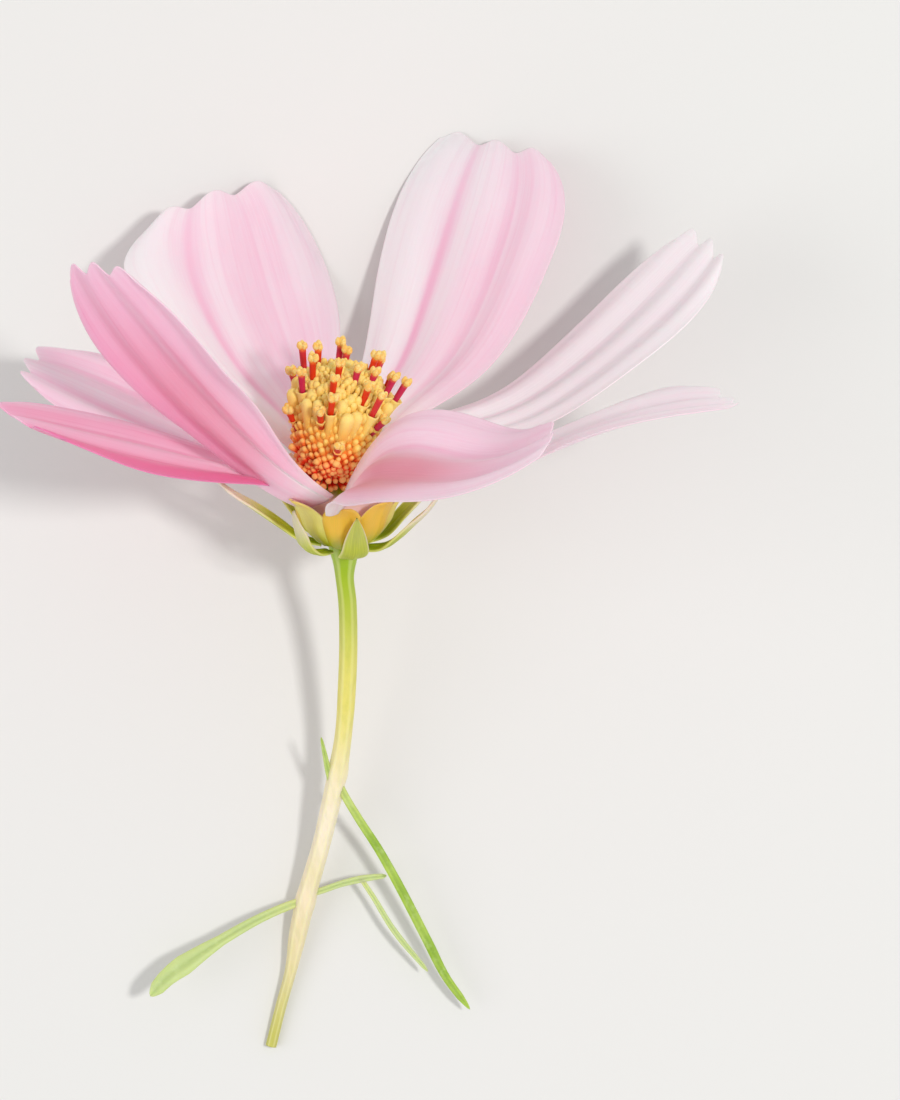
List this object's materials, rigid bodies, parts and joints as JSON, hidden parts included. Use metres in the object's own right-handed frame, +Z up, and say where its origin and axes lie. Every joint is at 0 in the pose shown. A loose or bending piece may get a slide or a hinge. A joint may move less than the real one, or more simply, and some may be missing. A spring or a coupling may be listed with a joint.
{
  "type": "cosmos flower",
  "caption": "Cut cosmos flower lying on its side: pleated ray petals round a raised disc of florets, on a thin curved stem with thread-like leaves.",
  "frame": {"origin": "on the table the flower lies on, under the middle of its bounding box", "axes": "+Z up from the table, +Y from the cut end of the stem towards the bloom, +X to the right seen from above with the bloom away"},
  "size_m": [0.0714, 0.0962, 0.0594],
  "materials": {
    "petal": "pale pink, soft and thin, pinker in the pleats",
    "florets": "yellow florets with dark red anthers, matt",
    "inner_bract": "thin ochre blades, half translucent",
    "outer_bract": "green blades with pale margins",
    "stem": "smooth green to cream, faintly ribbed",
    "leaf": "matt green"
  },
  "bodies": {
    "root": {"petal_back_right": "petal", "petal_right_upper": "petal", "petal_right_lower": "petal", "petal_front_right": "petal", "petal_front_left": "petal", "petal_left_lower": "petal", "petal_left_upper": "petal", "petal_back_left": "petal", "disc_florets": "florets", "inner_bract_1": "inner_bract", "inner_bract_2": "inner_bract", "inner_bract_3": "inner_bract", "inner_bract_4": "inner_bract", "inner_bract_5": "inner_bract", "inner_bract_6": "inner_bract", "inner_bract_7": "inner_bract", "inner_bract_8": "inner_bract", "outer_bract_1": "outer_bract", "outer_bract_2": "outer_bract", "outer_bract_3": "outer_bract", "outer_bract_4": "outer_bract", "outer_bract_5": "outer_bract", "outer_bract_6": "outer_bract", "outer_bract_7": "outer_bract", "outer_bract_8": "outer_bract", "stem": "stem", "leaf_upper_right": "leaf", "leaf_upper_left": "leaf", "leaf_lower_left": "leaf", "leaf_lower_right": "leaf"}
  },
  "joints": []
}
